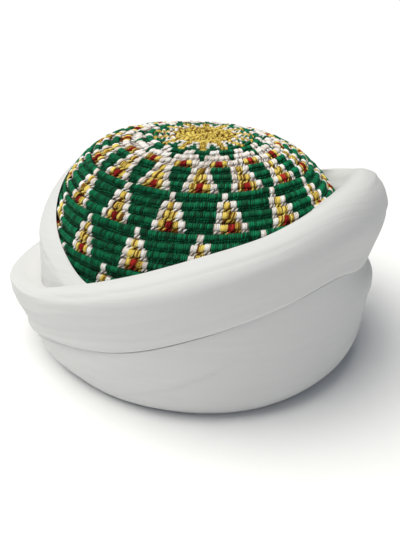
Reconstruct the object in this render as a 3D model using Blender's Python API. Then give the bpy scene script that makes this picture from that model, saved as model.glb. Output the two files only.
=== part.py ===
"""A wound turban: a crocheted dome cap with three white cloth turns about it, each turn its own piece."""

from math import atan2, cos, exp, hypot, pi, radians, sin

import bmesh
import bpy
from mathutils import Vector

MM = 0.001

# Driving sizes, in millimetres. Heights are above the surface that the turban stands on.
CAP_WALL = 4.0
CAP_CENTRE_HEIGHT = 51.0
CAP_TILT = radians(8.2)
CAP_TILT_FULL_ABOVE = 22.0
RIB_PITCH = 6.6
RIB_DEPTH = 0.9
RIBBED_ROWS = 17
GAP = 0.8
TURN_COLUMNS = 60
CAP_COLUMNS = 56
FOOT_ROUNDING = 14.5
TUCK_HEIGHT = 11.0
TUCK_STEP = 3.4
CROSS_THICKNESS = 7.2
CROSS_LEAST_HEIGHT = 9.0
LOWER_SWELL = 0.3
CAP_BULGE = 8.0
CAP_BULGE_AT = radians(-118)
CAP_BULGE_LENGTH = 80.0
CAP_BULGE_REACH = 45.0
CENTRE_SHIFT = (4.8, -3.7)

# The cap's outer profile from crown to rim: radius, and height from the cap's centre.
CAP_PROFILE = (
    {"radius": 0.0, "height": 92.6},
    {"radius": 27.7, "height": 91.2},
    {"radius": 49.2, "height": 86.6},
    {"radius": 66.5, "height": 76.6},
    {"radius": 84.1, "height": 57.6},
    {"radius": 95.2, "height": 35.2},
    {"radius": 98.6, "height": 14.0},
    {"radius": 98.0, "height": -8.0},
    {"radius": 95.2, "height": -30.0},
    {"radius": 92.5, "height": -51.0},
)

# The lower turn's foot: radius where it meets the surface, and how far the cloth spreads above it.
LOWER_TURN = (
    {"angle": -160, "foot": 96.0, "spread": 20.0},
    {"angle": -120, "foot": 99.0, "spread": 19.0},
    {"angle": -85, "foot": 102.0, "spread": 18.0},
    {"angle": -45, "foot": 96.0, "spread": 17.5},
    {"angle": 0, "foot": 95.0, "spread": 17.5},
    {"angle": 45, "foot": 95.5, "spread": 17.0},
    {"angle": 85, "foot": 96.5, "spread": 15.2},
    {"angle": 130, "foot": 95.5, "spread": 18.0},
    {"angle": 165, "foot": 95.5, "spread": 20.0},
)

# The outer turn, a section for each angle: 0 faces the viewer and +90 is the viewer's right.
# The belly is its widest place, at a share of its height, and the drop is how deep its rolled
# crest stands above the place where it bears on the cloth or cap inside it.
OUTER_TURN = (
    {"angle": -160, "foot_z": 14, "crest_z": 48, "crest_r": 118, "belly_r": 125, "belly": 0.80, "drop": 6},
    {"angle": -130, "foot_z": 10, "crest_z": 41.5, "crest_r": 120, "belly_r": 126, "belly": 0.87, "drop": 4},
    {"angle": -105, "foot_z": 9, "crest_z": 44.5, "crest_r": 121, "belly_r": 127.5, "belly": 0.90, "drop": 3},
    {"angle": -85, "foot_z": 12, "crest_z": 51, "crest_r": 121, "belly_r": 128, "belly": 0.90, "drop": 3},
    {"angle": -65, "foot_z": 26, "crest_z": 62.5, "crest_r": 115, "belly_r": 122, "belly": 0.84, "drop": 4},
    {"angle": -45, "foot_z": 38, "crest_z": 81, "crest_r": 108, "belly_r": 118, "belly": 0.74, "drop": 8},
    {"angle": -22, "foot_z": 51, "crest_z": 99, "crest_r": 102, "belly_r": 117, "belly": 0.74, "drop": 12},
    {"angle": 0, "foot_z": 68, "crest_z": 115.5, "crest_r": 101, "belly_r": 117, "belly": 0.72, "drop": 15},
    {"angle": 20, "foot_z": 81.5, "crest_z": 125, "crest_r": 101.5, "belly_r": 117, "belly": 0.72, "drop": 17},
    {"angle": 45, "foot_z": 89.5, "crest_z": 134.5, "crest_r": 102, "belly_r": 117, "belly": 0.68, "drop": 20},
    {"angle": 65, "foot_z": 79, "crest_z": 135, "crest_r": 101.5, "belly_r": 117.5, "belly": 0.66, "drop": 21},
    {"angle": 85, "foot_z": 70, "crest_z": 128.5, "crest_r": 101.5, "belly_r": 118.5, "belly": 0.64, "drop": 20},
    {"angle": 110, "foot_z": 52, "crest_z": 108.5, "crest_r": 105, "belly_r": 120, "belly": 0.65, "drop": 17},
    {"angle": 135, "foot_z": 36, "crest_z": 87.5, "crest_r": 109, "belly_r": 122, "belly": 0.68, "drop": 13},
    {"angle": 160, "foot_z": 23, "crest_z": 65, "crest_r": 114, "belly_r": 124, "belly": 0.74, "drop": 9},
)

# The crease at the outer turn's foot: how far its lip stands out, and how far the lower turn draws in under it.
FOOT_CREASE = (
    {"angle": -160, "lip": 1.5, "draw": 0.5},
    {"angle": -110, "lip": 3.0, "draw": 0.8},
    {"angle": -75, "lip": 3.5, "draw": 1.0},
    {"angle": -45, "lip": 1.6, "draw": 0.4},
    {"angle": -10, "lip": 0.5, "draw": 0.3},
    {"angle": 45, "lip": 0.4, "draw": 1.0},
    {"angle": 85, "lip": 0.6, "draw": 6.0},
    {"angle": 130, "lip": 1.2, "draw": 3.0},
    {"angle": 170, "lip": 1.5, "draw": 0.8},
)

# The inner turn that crosses the outer one: the height of its upper edge.
CROSS_TURN = (
    {"angle": -160, "edge_z": 104},
    {"angle": -130, "edge_z": 108},
    {"angle": -105, "edge_z": 108},
    {"angle": -85, "edge_z": 97},
    {"angle": -65, "edge_z": 86},
    {"angle": -48, "edge_z": 77},
    {"angle": -25, "edge_z": 74},
    {"angle": 0, "edge_z": 76},
    {"angle": 45, "edge_z": 80},
    {"angle": 90, "edge_z": 78},
    {"angle": 130, "edge_z": 80},
    {"angle": 165, "edge_z": 94},
)


def hermite(knots, values, slopes, at):
    """Cubic through the knots, at one place inside them."""
    i = max(k for k in range(len(knots) - 1) if knots[k] <= at or k == 0)
    span = knots[i + 1] - knots[i]
    t = (at - knots[i]) / span
    return (
        (2 * t**3 - 3 * t**2 + 1) * values[i]
        + (t**3 - 2 * t**2 + t) * span * slopes[i]
        + (3 * t**2 - 2 * t**3) * values[i + 1]
        + (t**3 - t**2) * span * slopes[i + 1]
    )


def inner_slopes(knots, values):
    """Slope at each knot, from its two neighbours."""
    last = len(knots) - 1
    return [
        (values[min(i + 1, last)] - values[max(i - 1, 0)])
        / (knots[min(i + 1, last)] - knots[max(i - 1, 0)])
        for i in range(last + 1)
    ]


def around(table, column, angle):
    """A column of a table at any angle in degrees, smooth all the way round."""
    rows = sorted(table, key=lambda row: row["angle"])
    turned = [(row["angle"] + turn, row[column]) for turn in (-360, 0, 360) for row in rows]
    knots, values = zip(*turned)
    angle = (angle + 180) % 360 - 180
    return hermite(knots, values, inner_slopes(knots, values), angle)


def profile_lengths():
    """Distance along the cap's profile from the crown to each of its rows."""
    lengths = [0.0]
    for above, below in zip(CAP_PROFILE, CAP_PROFILE[1:]):
        step = hypot(below["radius"] - above["radius"], below["height"] - above["height"])
        lengths.append(lengths[-1] + step)
    return lengths


LENGTHS = profile_lengths()
RADII = [row["radius"] for row in CAP_PROFILE]
HEIGHTS = [row["height"] for row in CAP_PROFILE]
RADIUS_SLOPES = inner_slopes(LENGTHS, RADII)
HEIGHT_SLOPES = [0.0] + inner_slopes(LENGTHS, HEIGHTS)[1:]


def cap_profile(length, inset=0.0):
    """Radius and height of the cap's profile, inset squarely from its outer face."""
    radius = hermite(LENGTHS, RADII, RADIUS_SLOPES, length)
    height = hermite(LENGTHS, HEIGHTS, HEIGHT_SLOPES, length)
    ahead = min(length + 0.5, LENGTHS[-1])
    run = hermite(LENGTHS, RADII, RADIUS_SLOPES, ahead) - hermite(
        LENGTHS, RADII, RADIUS_SLOPES, ahead - 1.0 if length > 0.5 else 0.0
    )
    rise = hermite(LENGTHS, HEIGHTS, HEIGHT_SLOPES, ahead) - hermite(
        LENGTHS, HEIGHTS, HEIGHT_SLOPES, ahead - 1.0 if length > 0.5 else 0.0
    )
    size = hypot(run, rise)
    return radius + inset * rise / size, height - inset * run / size


def tilt_at(height):
    """The dome leans back, and its rim stays level."""
    share = (height + CAP_CENTRE_HEIGHT) / (CAP_TILT_FULL_ABOVE + CAP_CENTRE_HEIGHT)
    share = min(max(share, 0.0), 1.0)
    return CAP_TILT * share * share * (3 - 2 * share)


def bulge(angle, length):
    """How far the soft dome swells at its back left."""
    facing = max(cos(angle - CAP_BULGE_AT), 0.0) ** 2
    return CAP_BULGE * facing * exp(-(((length - CAP_BULGE_LENGTH) / CAP_BULGE_REACH) ** 2))


def leaned(angle, radius, height, length):
    """A point of the upright cap, leaned back: x, y and height above the surface."""
    tilt = tilt_at(height)
    swell = bulge(angle, length) * min(radius / 60.0, 1.0)
    swollen = radius + swell
    height = height + swell * 0.5
    x = swollen * sin(angle)
    y = -swollen * cos(angle)
    return (
        x,
        y * cos(tilt) + height * sin(tilt),
        CAP_CENTRE_HEIGHT + height * cos(tilt) - y * sin(tilt),
    )


def cap_radius(angle, z):
    """Distance of the leaned cap's outer face from the upright axis, at an angle and a height."""
    azimuth = angle
    length = LENGTHS[-1] * 0.6
    for _ in range(40):
        radius, height = cap_profile(min(max(length, 1.0), LENGTHS[-1]))
        x, y, found_z = leaned(azimuth, radius, height, length)
        turn = (angle - atan2(x, -y) + pi) % (2 * pi) - pi
        azimuth += turn
        length += (found_z - z) * 0.7
    return hypot(x, y)


def lower_radius(degrees, z):
    """The lower turn's outer face."""
    spread = around(LOWER_TURN, "spread", degrees)
    return around(LOWER_TURN, "foot", degrees) + spread * (1 - exp(-z / FOOT_ROUNDING))


def drawn_face(degrees):
    """Radius of the lower turn where it draws in under the outer turn's foot."""
    edge = around(OUTER_TURN, "foot_z", degrees)
    return lower_radius(degrees, edge) - (1 - LOWER_SWELL) * around(FOOT_CREASE, "draw", degrees)


def lower_turn_section(degrees):
    """Radius and height of the lower turn's corners, from its inner foot outwards and up."""
    angle = radians(degrees)
    edge = around(OUTER_TURN, "foot_z", degrees)
    top = edge + TUCK_HEIGHT
    face = drawn_face(degrees)
    swell = LOWER_SWELL * around(FOOT_CREASE, "draw", degrees)
    outer = [(lower_radius(degrees, edge * s), edge * s) for s in (0.0, 0.12, 0.3, 0.55)]
    outer += [(lower_radius(degrees, edge * 0.8) + swell, edge * 0.8), (face, edge)]
    hidden = [
        (face - TUCK_STEP, edge + 1.5),
        (face - TUCK_STEP - 1.0, top - 3.0),
        (face - TUCK_STEP - 4.0, top),
    ]
    inner = [(cap_radius(angle, top * s) + GAP, top * s) for s in (1.0, 0.89, 0.77, 0.6, 0.4, 0.2, 0.0)]
    return outer + hidden + inner


def cross_edge(degrees):
    """Height of the cross turn's upper edge, kept above the lower turn that it lies on."""
    lowest = around(OUTER_TURN, "foot_z", degrees) + TUCK_HEIGHT
    return max(around(CROSS_TURN, "edge_z", degrees), lowest + CROSS_LEAST_HEIGHT)


def cross_turn_section(degrees):
    """The cross turn lies on the cap, from the lower turn's top to its own rounded edge."""
    angle = radians(degrees)
    low = around(OUTER_TURN, "foot_z", degrees) + TUCK_HEIGHT + GAP
    high = cross_edge(degrees)
    tall = high - low
    face = [(0.0, 0.7), (0.04, 1.0), (0.2, 1.0), (0.4, 1.0), (0.6, 1.0), (0.78, 1.0)]
    face += [(0.9, 0.86), (0.97, 0.55), (1.0, 0.2)]
    outer = [
        (cap_radius(angle, low + tall * s) + GAP + CROSS_THICKNESS * t, low + tall * s)
        for s, t in face
    ]
    shares = (0.96, 0.84, 0.7, 0.56, 0.42, 0.28, 0.14, 0.0)
    inner = [(cap_radius(angle, low + tall * s) + GAP, low + tall * s) for s in shares]
    return outer + inner


def outer_turn_section(degrees):
    """The outer turn: its lip, face, rolled crest, and the hidden wall that bears on the turns inside."""
    angle = radians(degrees)
    foot_z = around(OUTER_TURN, "foot_z", degrees)
    crest_z = around(OUTER_TURN, "crest_z", degrees)
    crest_r = around(OUTER_TURN, "crest_r", degrees)
    belly_r = around(OUTER_TURN, "belly_r", degrees)
    belly_z = foot_z + around(OUTER_TURN, "belly", degrees) * (crest_z - foot_z)
    drop = around(OUTER_TURN, "drop", degrees)
    face = drawn_face(degrees)
    lip = around(FOOT_CREASE, "lip", degrees)
    top = foot_z + TUCK_HEIGHT
    cross_wall = 2 * GAP + CROSS_THICKNESS
    rest_z = crest_z - drop
    covered = min(max((rest_z - cross_edge(degrees)) / 8.0, 0.0), 1.0)
    rest_r = cap_radius(angle, rest_z) + GAP * covered + cross_wall * (1 - covered)
    bend_z = min(cross_edge(degrees) + 1.0, rest_z - 3.0)
    seat_z = top + GAP
    wall = [seat_z + (bend_z - seat_z) * s for s in (1.0, 0.66, 0.33, 0.0)]
    seat_r = cap_radius(angle, seat_z) + cross_wall
    below = belly_z - foot_z
    above = crest_z - belly_z
    return [
        (face - TUCK_STEP + GAP, foot_z + 1.5 + GAP),
        (face + 0.4 + 0.6 * lip, foot_z + 0.6),
        (face + 1.0 + lip, foot_z + 3.0),
        (face * 0.55 + belly_r * 0.45, foot_z + 0.33 * below),
        (face * 0.15 + belly_r * 0.85, foot_z + 0.66 * below),
        (belly_r, belly_z),
        (belly_r * 0.82 + crest_r * 0.18, belly_z + 0.5 * above),
        (belly_r * 0.47 + crest_r * 0.53, belly_z + 0.86 * above),
        (crest_r, crest_z),
        (crest_r * 0.67 + rest_r * 0.33, crest_z - 0.12 * drop),
        (crest_r * 0.32 + rest_r * 0.68, crest_z - 0.45 * drop),
        (rest_r, rest_z),
        *[(cap_radius(angle, z) + cross_wall, z) for z in wall],
        (max(face - TUCK_STEP - 4.0, seat_r + 1.0) + 1.0, seat_z),
        (face - TUCK_STEP - 1.0 + GAP, top - 3.0 + GAP),
    ]


def finish(name, mesh_data, color, roughness, collection):
    """A mesh's object, with a plain material of its own."""
    material = bpy.data.materials.new(name)
    material.use_nodes = True
    shader = material.node_tree.nodes["Principled BSDF"]
    shader.inputs["Base Color"].default_value = (*color, 1.0)
    shader.inputs["Roughness"].default_value = roughness
    shader.inputs["Metallic"].default_value = 0.0
    mesh_data.materials.append(material)
    mesh_data.shade_smooth()
    mesh_data.set_sharp_from_angle(angle=radians(50))
    piece = bpy.data.objects.new(name, mesh_data)
    collection.objects.link(piece)
    return piece


def rolled_grid(name, columns, rows, place):
    """A flat grid rolled up: place(column, row) gives each point, and rows and columns close on themselves."""
    grid = bmesh.new()
    bmesh.ops.create_grid(grid, x_segments=columns, y_segments=rows, size=1.0)
    for vertex in grid.verts:
        column = round((vertex.co.x + 1) / 2 * columns) % columns
        row = round((vertex.co.y + 1) / 2 * rows)
        vertex.co = Vector(place(column, row)) * MM
    bmesh.ops.remove_doubles(grid, verts=grid.verts, dist=0.0000005)
    bmesh.ops.recalc_face_normals(grid, faces=grid.faces)
    mesh_data = bpy.data.meshes.new(name)
    grid.to_mesh(mesh_data)
    grid.free()
    return mesh_data


def turn(name, section, color, collection):
    """One wound turn, lofted through a section at every column."""
    sections = [section(360.0 * column / TURN_COLUMNS) for column in range(TURN_COLUMNS)]
    corners = len(sections[0])

    def place(column, row):
        angle = 2 * pi * column / TURN_COLUMNS
        radius, z = sections[column][row % corners]
        return (
            CENTRE_SHIFT[0] + radius * sin(angle),
            CENTRE_SHIFT[1] - radius * cos(angle),
            z,
        )

    mesh_data = rolled_grid(name, TURN_COLUMNS, corners, place)
    return finish(name, mesh_data, color, 0.9, collection)


def cap_stations():
    """Length along the profile and inset from the outer face, from the crown out, round the rim and back inside."""
    stations = [(0.0, 0.0)]
    for row in range(1, RIBBED_ROWS + 1):
        stations.append(((row - 0.5) * RIB_PITCH, 0.0))
        stations.append((row * RIB_PITCH, RIB_DEPTH))
    plain_from = (RIBBED_ROWS + 1) * RIB_PITCH
    plain_rows = 5
    plain_step = (LENGTHS[-1] - plain_from) / plain_rows
    stations += [(plain_from + plain_step * i, 0.0) for i in range(plain_rows + 1)]
    inside_rows = 11
    inside_step = LENGTHS[-1] / inside_rows
    stations += [(LENGTHS[-1] - inside_step * i, CAP_WALL) for i in range(inside_rows + 1)]
    return stations


def crochet_cap(collection):
    """The dome cap: a ribbed outer face, a plain inner one, and a flat rim."""
    stations = cap_stations()

    def place(column, row):
        angle = 2 * pi * column / CAP_COLUMNS
        length, inset = stations[row]
        radius, height = cap_profile(length, inset)
        if length == 0.0:
            radius, height = 0.0, HEIGHTS[0] - inset
        if length == LENGTHS[-1]:
            radius, height = RADII[-1] - inset, HEIGHTS[-1]
        x, y, z = leaned(angle, radius, height, length)
        return CENTRE_SHIFT[0] + x, CENTRE_SHIFT[1] + y, z

    mesh_data = rolled_grid("crochet_cap", CAP_COLUMNS, len(stations) - 1, place)
    return finish("crochet_cap", mesh_data, (0.012, 0.085, 0.038), 0.85, collection)


def main():
    for old in list(bpy.data.objects):
        bpy.data.objects.remove(old, do_unlink=True)
    collection = bpy.data.collections.new("wound_turban")
    bpy.context.scene.collection.children.link(collection)
    white = (0.83, 0.82, 0.79)
    crochet_cap(collection)
    turn("lower_turn", lower_turn_section, white, collection)
    turn("cross_turn", cross_turn_section, white, collection)
    turn("outer_turn", outer_turn_section, white, collection)


main()
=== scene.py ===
"""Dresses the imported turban: the cap's crochet with its motifs, the three wound turns and a plain studio."""

from math import cos, pi, radians, sin

import bmesh
import bpy
import numpy as np
from bpy.props import FloatProperty, FloatVectorProperty, IntProperty, PointerProperty
from mathutils import Matrix, Vector


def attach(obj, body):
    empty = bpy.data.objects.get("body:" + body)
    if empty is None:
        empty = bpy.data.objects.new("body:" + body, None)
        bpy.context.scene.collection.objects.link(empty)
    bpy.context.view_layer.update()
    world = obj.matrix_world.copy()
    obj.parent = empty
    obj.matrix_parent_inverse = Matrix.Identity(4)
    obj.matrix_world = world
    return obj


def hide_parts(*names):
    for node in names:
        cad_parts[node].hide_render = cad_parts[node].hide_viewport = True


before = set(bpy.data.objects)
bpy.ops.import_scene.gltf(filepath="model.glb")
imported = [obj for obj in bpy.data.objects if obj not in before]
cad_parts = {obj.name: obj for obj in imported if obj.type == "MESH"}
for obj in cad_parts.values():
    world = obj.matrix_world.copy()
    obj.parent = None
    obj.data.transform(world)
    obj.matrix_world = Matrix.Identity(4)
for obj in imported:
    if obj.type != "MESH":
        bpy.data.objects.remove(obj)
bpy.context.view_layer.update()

bl_info = {
    "name": "Wound turban",
    "version": (1, 0, 0),
    "blender": (4, 5, 0),
    "location": "3D View > Sidebar > Turban",
    "description": "Makes a crocheted cap with three wound cloth turns, and a studio to look at it in",
    "category": "Add Mesh",
}

MM = 0.001
SEED = 7


def named_rows(columns, *rows):
    """A table's rows, each with its values under the names of the columns."""
    return tuple(dict(zip(columns.split(), row)) for row in rows)


# The cap and the turns, as the solids have them, in millimetres and degrees.
CAP_WALL = 4.0
CAP_CENTRE_HEIGHT = 51.0
CAP_TILT = radians(8.2)
CAP_TILT_FULL_ABOVE = 22.0
GAP = 0.8
CLOTH_TOUCH = 0.25
FOOT_ROUNDING = 14.5
TUCK_HEIGHT = 11.0
TUCK_STEP = 3.4
CROSS_THICKNESS = 7.2
CROSS_LEAST_HEIGHT = 9.0
LOWER_SWELL = 0.3
CAP_BULGE = 8.0
CAP_BULGE_AT = radians(-118)
CAP_BULGE_LENGTH = 80.0
CAP_BULGE_REACH = 45.0
CAP_BULGE_FULL_RADIUS = 60.0
CAP_BULGE_RISE = 0.5
CENTRE = (4.8, -3.7)

CAP_PROFILE = named_rows(
    "radius height",
    (0.0, 92.6),
    (27.7, 91.2),
    (49.2, 86.6),
    (66.5, 76.6),
    (84.1, 57.6),
    (95.2, 35.2),
    (98.6, 14.0),
    (98.0, -8.0),
    (95.2, -30.0),
    (92.5, -51.0),
)
LOWER_TURN = named_rows(
    "angle foot spread",
    (-160, 96.0, 20.0),
    (-120, 99.0, 19.0),
    (-85, 102.0, 18.0),
    (-45, 96.0, 17.5),
    (0, 95.0, 17.5),
    (45, 95.5, 17.0),
    (85, 96.5, 15.2),
    (130, 95.5, 18.0),
    (165, 95.5, 20.0),
)
OUTER_TURN = named_rows(
    "angle foot_z crest_z crest_r belly_r belly drop",
    (-160, 14, 48, 118, 125, 0.80, 6),
    (-130, 10, 41.5, 120, 126, 0.87, 4),
    (-105, 9, 44.5, 121, 127.5, 0.90, 3),
    (-85, 12, 51, 121, 128, 0.90, 3),
    (-65, 26, 62.5, 115, 122, 0.84, 4),
    (-45, 38, 81, 108, 118, 0.74, 8),
    (-22, 51, 99, 102, 117, 0.74, 12),
    (0, 68, 115.5, 101, 117, 0.72, 15),
    (20, 81.5, 125, 101.5, 117, 0.72, 17),
    (45, 89.5, 134.5, 102, 117, 0.68, 20),
    (65, 79, 135, 101.5, 117.5, 0.66, 21),
    (85, 70, 128.5, 101.5, 118.5, 0.64, 20),
    (110, 52, 108.5, 105, 120, 0.65, 17),
    (135, 36, 87.5, 109, 122, 0.68, 13),
    (160, 23, 65, 114, 124, 0.74, 9),
)

# The crease at the outer turn's foot: how far its lip stands out, and how far the lower turn draws in under it.
FOOT_CREASE = named_rows(
    "angle lip draw",
    (-160, 1.5, 0.5),
    (-110, 3.0, 0.8),
    (-75, 3.5, 1.0),
    (-45, 1.6, 0.4),
    (-10, 0.5, 0.3),
    (45, 0.4, 1.0),
    (85, 0.6, 6.0),
    (130, 1.2, 3.0),
    (170, 1.5, 0.8),
)
CROSS_TURN = named_rows(
    "angle edge_z",
    (-160, 104),
    (-130, 108),
    (-105, 108),
    (-85, 97),
    (-65, 86),
    (-48, 77),
    (-25, 74),
    (0, 76),
    (45, 80),
    (90, 78),
    (130, 80),
    (165, 94),
)

# The crochet, worked down from the crown in 14 equal sectors. Each string is one sector's stitches in one row,
# and tall is their height against a full row's. The stitch numbered middle, from 0, lies on the ring's axis.
SECTORS = 14
ROW_PITCH = 6.6
FIRST_AXIS = -79.1
SECOND_AXIS = FIRST_AXIS + 180.0 / SECTORS
CHART = named_rows(
    "row tall sector middle axis sectors",
    (1, 0.5, "Y", 0, FIRST_AXIS, 7),
    (1.5, 0.5, "Y", 0, SECOND_AXIS, SECTORS),
    (2, 0.5, "Y", 0, FIRST_AXIS, SECTORS),
    (2.5, 0.5, "YY", 0, FIRST_AXIS, SECTORS),
    (3, 0.5, "YY", 0.5, FIRST_AXIS, SECTORS),
    (3.5, 0.5, "YY", 0, FIRST_AXIS, SECTORS),
    (4, 0.5, "YYWW", 0.5, FIRST_AXIS, SECTORS),
    (4.5, 0.5, "WYYWG", 1.5, FIRST_AXIS, SECTORS),
    (5, 0.5, "WYYWGG", 1.5, FIRST_AXIS, SECTORS),
    (5.5, 0.5, "YYGGGG", 0.5, FIRST_AXIS, SECTORS),
    (6, 1, "WWGGG", 0.5, SECOND_AXIS, SECTORS),
    (7, 1, "WWWWWG", 2, SECOND_AXIS, SECTORS),
    (8, 1, "WYRYWW", 2, SECOND_AXIS, SECTORS),
    (9, 1, "WYWGGG", 1, FIRST_AXIS, SECTORS),
    (10, 1, "WYYWGGG", 1.5, FIRST_AXIS, SECTORS),
    (11, 1, "WYRYWGG", 2, FIRST_AXIS, SECTORS),
)
# Below row 11 the same four-row motif repeats, each ring half a sector round from the one above it.
MOTIF_ROWS = ("W", "WYW", "WYYW", "WYRYW")
MOTIF_FROM_ROW = 12
# Degrees that each of those rows lies round from the one above it, because single crochet slants.
ROW_DRIFT = 0.3
LAST_ROW = 27
STITCH_WIDTH = 4.05

# A stitch, in millimetres across, down its row and out from its seat: two legs of two plies each in the row's
# upper part, the thin tail that they draw into below, and the front loop beside it.
STITCH_STRANDS = (
    {"path": ((-1.1, -0.9, -0.9), (-1.35, 0.4, 0.25), (-1.6, 1.9, 0.45), (-1.9, 3.3, 0.1), (-2.4, 4.5, -0.9)),
     "thickness": 1.05, "rings": 4},
    {"path": ((-0.15, -0.9, -0.8), (-0.4, 0.4, 0.5), (-0.65, 1.9, 0.7), (-1.0, 3.3, 0.3), (-1.6, 4.6, -0.9)),
     "thickness": 1.05, "rings": 4},
    {"path": ((0.8, -0.9, -0.8), (0.6, 0.4, 0.55), (0.3, 1.9, 0.75), (-0.15, 3.3, 0.4), (-0.9, 4.7, -0.8)),
     "thickness": 1.05, "rings": 4},
    {"path": ((1.75, -0.9, -0.9), (1.5, 0.4, 0.3), (1.2, 1.9, 0.5), (0.75, 3.3, 0.15), (-0.1, 4.7, -0.9)),
     "thickness": 1.05, "rings": 4},
    {"path": ((0.2, 3.5, -0.7), (-0.9, 4.4, -0.35), (-2.0, 5.5, -0.4), (-3.1, 6.9, -1.1)),
     "thickness": 1.1, "rings": 3},
    {"path": ((2.4, 3.9, -1.3), (1.5, 4.7, -0.8), (0.4, 5.6, -0.85), (-0.8, 6.7, -1.4)),
     "thickness": 1.0, "rings": 3},
)
# The green ground's stitches are pulled tighter: three short legs make an even ridge, and two lines of thin
# ones lie below it. Beside gives the places across at which a strand is repeated.
RIDGE_STRANDS = (
    {"path": ((0.25, -0.9, -0.9), (0.1, 0.2, 0.4), (-0.1, 1.4, 0.75), (-0.3, 2.6, 0.4), (-0.8, 3.7, -0.9)),
     "thickness": 1.25, "rings": 4, "beside": (-1.35, 0.0, 1.35)},
    {"path": ((1.5, 2.9, -1.2), (0.6, 3.5, -0.5), (-0.5, 4.2, -0.45), (-1.5, 4.9, -1.2)),
     "thickness": 0.75, "rings": 3, "beside": (-1.0, 1.0)},
    {"path": ((1.2, 4.5, -1.4), (0.4, 5.1, -0.75), (-0.6, 5.7, -0.75), (-1.6, 6.4, -1.4)),
     "thickness": 0.75, "rings": 3, "beside": (-1.0, 1.0)},
)

YARN_OF = {"G": "green", "W": "white", "Y": "gold", "R": "red"}
# Each yarn's piece. Tones and mottle are how far its colour goes from strand to strand and along one, streak is
# how much of the first is each strand's own, and wild is how unlike each other the stitches are.
STITCH_PIECES = named_rows(
    "yarn piece first_row last_row strands streak tones mottle wild",
    ("green", "green_crochet_upper", 1, 15, RIDGE_STRANDS, 1.0, 0.45, 0.55, 0.5),
    ("green", "green_crochet_lower", 16, 31, RIDGE_STRANDS, 1.0, 0.45, 0.55, 0.5),
    ("white", "white_crochet", 1, 31, STITCH_STRANDS, 1.0, 0.7, 0.7, 1.7),
    ("gold", "gold_crochet", 1, 31, STITCH_STRANDS, 1.0, 1.1, 1.3, 1.7),
    ("red", "red_crochet", 1, 31, STITCH_STRANDS, 0.7, 0.6, 0.8, 1.4),
)
# How one stitch differs from the next where wild is 1: in size as a share, in lean as a slope, and in
# millimetres down the cap and out from it.
SIZE_SPREAD = 0.1
LEAN_SPREAD = 0.08
SLIP_SPREAD = 0.22
PROUD_SPREAD = 0.12
# The rows waver up and down by this many millimetres, five times round the cap, each row this many radians on
# from the last.
ROW_WAVE = 0.4
ROW_WAVES = 5
ROW_WAVE_SHIFT = 1.7

STRAND_LENGTH = 7.5
STRAND_SIDES = 4
# How far from a yarn's middle tone its deep and its lit colour lie, in the units of tones and mottle.
RAMP_REACH = 0.34
STITCH_SEAT = 1.15

# The ground under the stitches, in millimetres below the cap's outer face. Past the stitches it comes up to it.
GROUND_COLUMNS = 280
GROUND_ROWS = 126
GROUND_SUNK = 1.7
GROUND_RIB = 0.5
RIM_RIB = 0.2
INSIDE_RIB = 0.4
GROUND_MEETS_FACE = (160.0, 172.0)
# The ground's colour as a share of each yarn's deep colour, inside the cap and outside it. Outside, between the
# stitches, it is darkened as painted shade.
INSIDE_SHADE = 1.6
GAP_PAINTED_SHADE = 0.6
HIDDEN_MARGIN = 6.0

# The studio. Lengths in metres, and the camera in millimetres about the cap.
FLOOR_RADIUS = 4.0
WORLD_COLOUR = "#CFE2FF"
WORLD_STRENGTH = 0.12
BACKDROP_STRENGTH = 1.2
SUN_COLOUR = "#FFFDF6"
SUN_STRENGTH = 3.3
SUN_SOFTNESS = radians(60)
SUN_FROM = (-0.33, 0.0, 0.94)
FILL_COLOUR = "#FFFFFF"
FILL_STRENGTH = 0.22
FILL_SOFTNESS = radians(50)
FILL_FROM = (-0.1, -0.85, 0.42)
LIGHTS = (
    ("window", SUN_COLOUR, SUN_STRENGTH, SUN_SOFTNESS, SUN_FROM),
    ("reflector", FILL_COLOUR, FILL_STRENGTH, FILL_SOFTNESS, FILL_FROM),
)
TARGET = (3.2, -3.7, 51.0)
ELEVATION = radians(30)
CAMERA_DISTANCE = 766.0
CAMERA_ROLL = radians(1.0)
LENS = 76.93


def linear(code):
    """A colour's linear values from its sRGB hex code."""
    values = [int(code[i : i + 2], 16) / 255 for i in (1, 3, 5)]
    return tuple(v / 12.92 if v <= 0.04045 else ((v + 0.055) / 1.055) ** 2.4 for v in values)


def hermite(knots, values, slopes, at):
    """Cubic through the knots, at many places."""
    knots, values, slopes = np.asarray(knots, float), np.asarray(values, float), np.asarray(slopes, float)
    i = np.clip(np.searchsorted(knots, at, side="right") - 1, 0, len(knots) - 2)
    span = knots[i + 1] - knots[i]
    t = (at - knots[i]) / span
    return (
        (2 * t**3 - 3 * t**2 + 1) * values[i]
        + (t**3 - 2 * t**2 + t) * span * slopes[i]
        + (3 * t**2 - 2 * t**3) * values[i + 1]
        + (t**3 - t**2) * span * slopes[i + 1]
    )


def inner_slopes(knots, values):
    """Slope at each knot, from its two neighbours."""
    knots, values = np.asarray(knots, float), np.asarray(values, float)
    before = np.maximum(np.arange(len(knots)) - 1, 0)
    after = np.minimum(np.arange(len(knots)) + 1, len(knots) - 1)
    return (values[after] - values[before]) / (knots[after] - knots[before])


def around(table, column, degrees):
    """A column of a table at any angles in degrees, smooth all the way round."""
    rows = sorted(table, key=lambda row: row["angle"])
    knots = [row["angle"] + turn for turn in (-360, 0, 360) for row in rows]
    values = [row[column] for _ in range(3) for row in rows]
    return hermite(knots, values, inner_slopes(knots, values), (np.asarray(degrees) + 180.0) % 360.0 - 180.0)


RADII = np.array([row["radius"] for row in CAP_PROFILE])
HEIGHTS = np.array([row["height"] for row in CAP_PROFILE])
LENGTHS = np.concatenate([[0.0], np.cumsum(np.hypot(np.diff(RADII), np.diff(HEIGHTS)))])
RADIUS_SLOPES = inner_slopes(LENGTHS, RADII)
HEIGHT_SLOPES = inner_slopes(LENGTHS, HEIGHTS)
HEIGHT_SLOPES[0] = 0.0


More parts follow.
